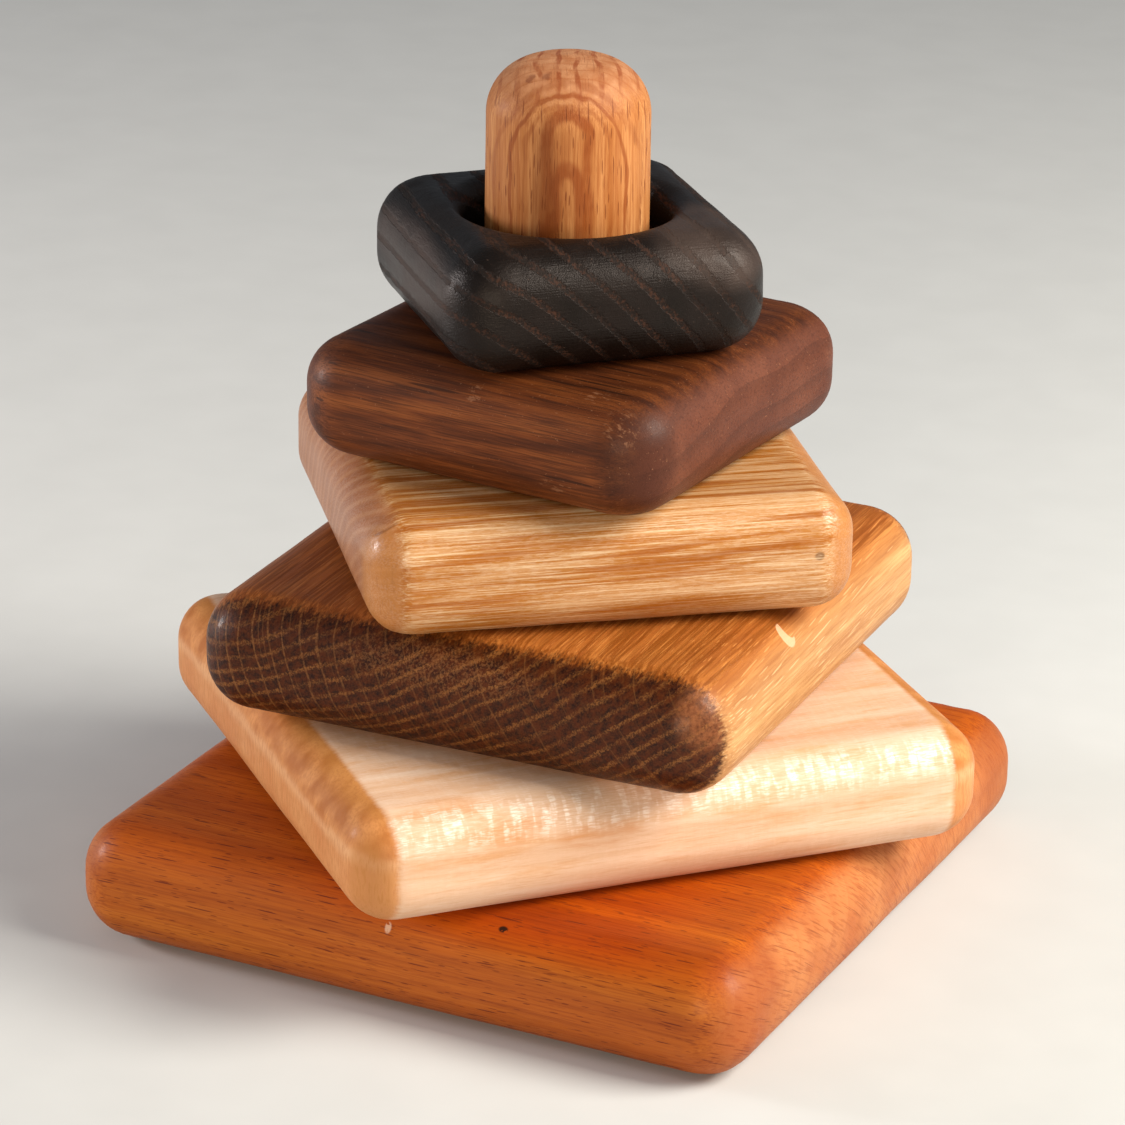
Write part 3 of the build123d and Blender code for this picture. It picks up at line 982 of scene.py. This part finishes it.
# Node, body, material slot, wood, and the seed of its hand work.
PIECES = (
    ("base_board", "stand", "steamed_beech", steamed_beech, 3),
    ("post", "stand", "post_beech", post_beech, 11),
    ("maple_ring", "maple_ring", "maple", maple_wood, 21),
    ("oak_ring", "oak_ring", "oak", oak_wood, 31),
    ("ash_ring", "ash_ring", "ash", ash_wood, 41),
    ("walnut_ring", "walnut_ring", "walnut", walnut_wood, 51),
    ("black_ring", "black_ring", "ebonised_ash", ebonised_ash, 61),
)


def make_piece(node, seed):
    """The mesh that stands for a node. The black ring is the roughest of the handwork."""
    name = node + "_wood"
    if node == "base_board":
        return make_base(blocks[node], float(post_low.z), name, seed)
    if node == "post":
        return make_post(name, seed)
    if node == "black_ring":
        return make_ring(blocks[node], name, seed, wave=0.3 * MM, ripple=0.08 * MM)
    return make_ring(blocks[node], name, seed)


for node, body, slot, wood, seed in PIECES:
    piece = make_piece(node, seed)
    piece.data.materials.append(wood(blocks[node]))
    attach(piece, body)
    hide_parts(node)


# ---------------------------------------------------------------- floor, lights and camera

height = cad_high.z - cad_low.z

FLOOR_REACH = 40  # of the tower's height
FLOOR_GAP = 0.1 * MM  # keeps the floor and the base's underside from flickering into each other
FLOOR_CLOUDS = 60  # to a metre

# The photograph's view: angles in degrees, and lengths in parts of the tower's height.
VIEW_AZIMUTH = 26.2
VIEW_ELEVATION = 22.1
VIEW_ROLL = 0.77
VIEW_DISTANCE = 5.48
VIEW_TARGET = 0.396
SENSOR_MM = 36
LENS_MM = 152.5

# Name, azimuth, elevation, distance, width and height in metres, watts and colour.
LIGHTS = (
    ("right_box", 100, 37, 0.75, 0.4, 0.4, 10.6, (1, 0.97, 0.87)),
    ("left_box", -76, 12, 0.75, 0.16, 0.16, 3.7, (1, 0.97, 0.96)),
    ("front_box", 20, 12, 1.4, 0.7, 0.7, 11, (1, 0.88, 0.7)),
)


def make_floor():
    """A plain pale floor under the tower."""
    reach = FLOOR_REACH * height
    level = -FLOOR_GAP
    corners = [(-reach, -reach, level), (reach, -reach, level), (reach, reach, level), (-reach, reach, level)]
    floor = new_piece("floor", corners, [(0, 1, 2, 3)])
    g = Graph("pale_floor")
    metres = g.node("TexCoord").outputs["Object"]
    clouds = g.noise(g.place(metres, (0, 0, 0), (0, 0, 0), (FLOOR_CLOUDS,) * 3))
    colour = g.ramp(clouds, (0.3, (0.55, 0.547, 0.544)), (0.7, (0.57, 0.567, 0.564)))
    floor.data.materials.append(g.finish(colour, 0.9, None))


def aim_at(thing, position, target, roll=0.0):
    """Puts a camera or lamp at a position, looking at target."""
    thing.location = position
    look = (target - position).to_track_quat("-Z", "Y")
    thing.rotation_euler = (look.to_matrix() @ Matrix.Rotation(roll, 3, "Z")).to_euler()


def around(azimuth, elevation, distance, target):
    """The position seen from target at these angles in degrees. Azimuth 0 is the front, 90 is +X."""
    a, e = math.radians(azimuth), math.radians(elevation)
    way = Vector((math.cos(e) * math.sin(a), -math.cos(e) * math.cos(a), math.sin(e)))
    return target + way * distance


def make_light(name, azimuth, elevation, distance, wide, tall, watts, colour):
    """A soft box turned towards the tower."""
    data = bpy.data.lights.new(name, "AREA")
    data.shape = "RECTANGLE"
    data.size = wide
    data.size_y = tall
    data.energy = watts
    data.color = colour
    light = bpy.data.objects.new(name, data)
    bpy.context.scene.collection.objects.link(light)
    target = Vector((0, 0, height / 2))
    aim_at(light, around(azimuth, elevation, distance, target), target)


def make_camera():
    """The photograph's view: a long lens from the right of the front, looking down a little."""
    data = bpy.data.cameras.new("camera")
    data.sensor_width = SENSOR_MM
    data.lens = LENS_MM
    camera = bpy.data.objects.new("camera", data)
    bpy.context.scene.collection.objects.link(camera)
    target = Vector((0, 0, VIEW_TARGET * height))
    position = around(VIEW_AZIMUTH, VIEW_ELEVATION, VIEW_DISTANCE * height, target)
    aim_at(camera, position, target, roll=math.radians(VIEW_ROLL))
    bpy.context.scene.camera = camera


def make_world():
    """Even pale light from all round."""
    world = bpy.data.worlds.new("studio")
    world.use_nodes = True
    background = world.node_tree.nodes["Background"]
    background.inputs["Color"].default_value = (0.93, 1, 1.1, 1)
    background.inputs["Strength"].default_value = 0.2
    bpy.context.scene.world = world


make_floor()
for light_row in LIGHTS:
    make_light(*light_row)
make_camera()
make_world()
bpy.context.scene.view_settings.view_transform = "Standard"
